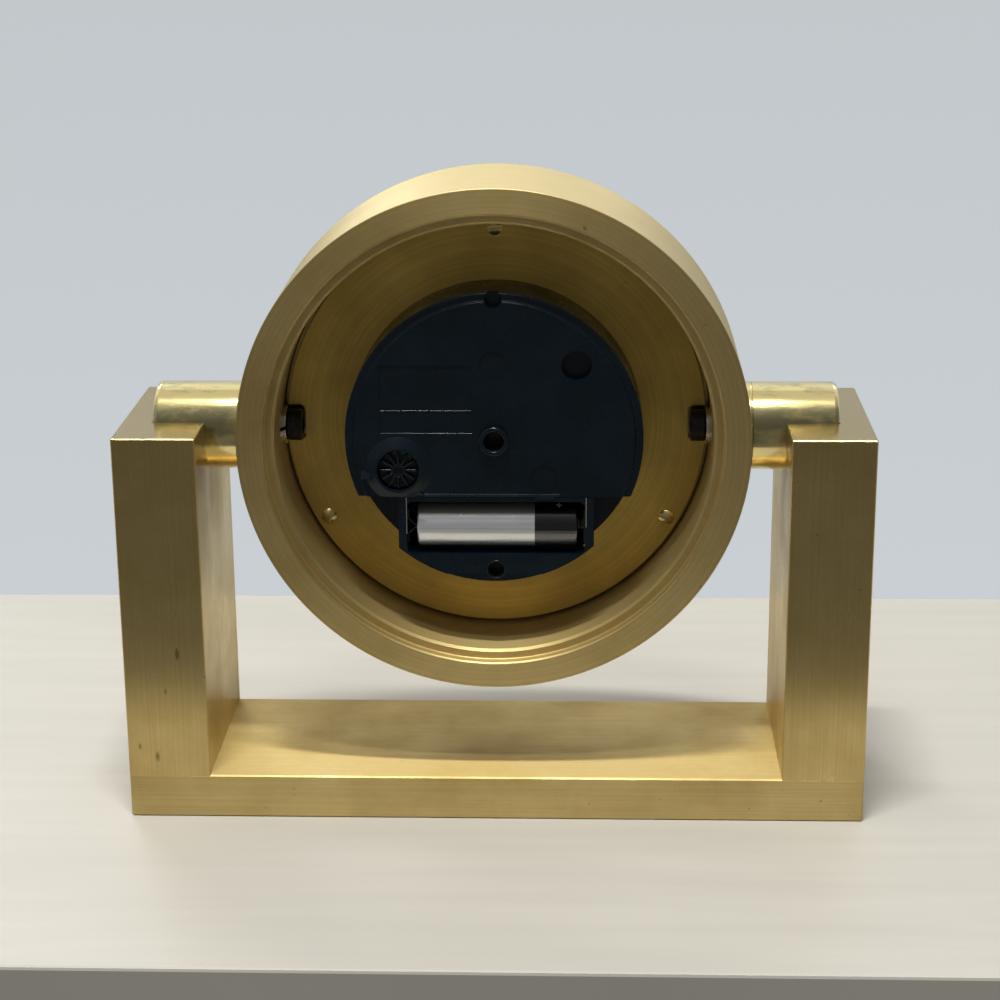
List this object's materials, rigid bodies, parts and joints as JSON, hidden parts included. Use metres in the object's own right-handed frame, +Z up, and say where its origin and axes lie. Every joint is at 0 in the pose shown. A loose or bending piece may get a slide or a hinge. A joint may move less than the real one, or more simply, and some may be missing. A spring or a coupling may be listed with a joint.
{
  "type": "desk clock with calendar",
  "caption": "Heavy brass desk clock whose thick round drum tilts on two shafts in a U-shaped bar stand, with hands, a date window and an open back showing its quartz movement.",
  "frame": {"origin": "centre of the underside of the stand, on the surface it stands on", "axes": "+Z up; -Y towards the dial, so that +Y is the open back; +X to the right of someone reading the dial"},
  "size_m": [0.2286, 0.0636, 0.1968],
  "materials": {
    "stand_brass": "fine brushed, tarnished",
    "drum_brass": "turned, satin",
    "shaft_brass": "polished",
    "plate_brass": "dull, aged",
    "screw_brass": "turned",
    "black_steel": "black oxide",
    "washer_steel": "bright zinc",
    "dial_white": "matt white",
    "marker_brass": "polished",
    "surround_brass": "satin",
    "clear_glass": "clear",
    "housing_black": "moulded, semi-matt",
    "nut_brass": "turned",
    "train_white": "natural acetal",
    "setting_red": "moulded",
    "battery_case": "plain wrapped cell",
    "arbor_steel": "ground",
    "contact_steel": "nickel plated",
    "date_white": "printed disc",
    "hand_black": "black lacquer"
  },
  "bodies": {
    "stand": {"base_bar": "stand_brass", "left_post": "stand_brass", "right_post": "stand_brass"},
    "drum": {"drum_case": "drum_brass", "trunnion_shafts": "shaft_brass", "trunnion_screws": "black_steel", "lock_washers": "washer_steel", "dial_plate": "plate_brass", "plate_screws": "screw_brass", "dial_face": "dial_white", "hour_markers": "marker_brass", "dial_surround": "surround_brass", "glass": "clear_glass", "movement_base": "housing_black", "movement_cover": "housing_black", "centre_nut": "nut_brass", "negative_contact": "contact_steel", "positive_contact": "contact_steel", "date_jumper": "train_white"},
    "battery": {"battery": "battery_case"},
    "setting_knob": {"set_knob": "housing_black"},
    "seconds": {"seconds_arbor": "arbor_steel", "second_hand": "hand_black"},
    "minutes": {"cannon_pinion": "train_white", "minute_hand": "hand_black"},
    "motion_wheel": {"motion_wheel": "setting_red"},
    "hours": {"hour_wheel": "train_white", "hour_hand": "hand_black"},
    "date_wheel": {"date_wheel": "setting_red"},
    "date_ring": {"date_ring": "date_white"}
  },
  "joints": [
    {"name": "drum_tilt", "type": "hinge", "parent": "stand", "child": "drum", "pos_m": [0, 0, 0.119], "axis": [1, 0, 0], "continuous": true},
    {"name": "minute_turn", "type": "hinge", "parent": "drum", "child": "minutes", "pos_m": [0, 0, 0.119], "axis": [0, 1, 0], "continuous": true},
    {"name": "hour_turn", "type": "hinge", "parent": "drum", "child": "hours", "pos_m": [0, 0, 0.119], "axis": [0, 1, 0], "continuous": true},
    {"name": "motion_turn", "type": "hinge", "parent": "drum", "child": "motion_wheel", "pos_m": [0.01595, 0, 0.1203], "axis": [0, 1, 0], "continuous": true},
    {"name": "setting_turn", "type": "hinge", "parent": "drum", "child": "setting_knob", "pos_m": [0.0292, 0, 0.10965], "axis": [0, 1, 0], "continuous": true},
    {"name": "date_wheel_turn", "type": "hinge", "parent": "drum", "child": "date_wheel", "pos_m": [-0.011, 0, 0.13805], "axis": [0, 1, 0], "continuous": true},
    {"name": "date_ring_turn", "type": "hinge", "parent": "drum", "child": "date_ring", "pos_m": [0, 0, 0.119], "axis": [0, 1, 0], "continuous": true},
    {"name": "seconds_turn", "type": "hinge", "parent": "drum", "child": "seconds", "pos_m": [0, 0, 0.119], "axis": [0, 1, 0], "continuous": true},
    {"name": "battery_lift", "type": "slide", "parent": "drum", "child": "battery", "axis": [0, 1, 0], "range_m": [0, 0.03]}
  ],
  "couplings": [
    {"joint": "hour_turn", "follows": "minute_turn", "ratio": 0.083333},
    {"joint": "motion_turn", "follows": "minute_turn", "ratio": -0.33333},
    {"joint": "setting_turn", "follows": "minute_turn", "ratio": 0.8},
    {"joint": "date_wheel_turn", "follows": "minute_turn", "ratio": -0.041667},
    {"joint": "date_ring_turn", "follows": "minute_turn", "ratio": -0.0013441}
  ]
}
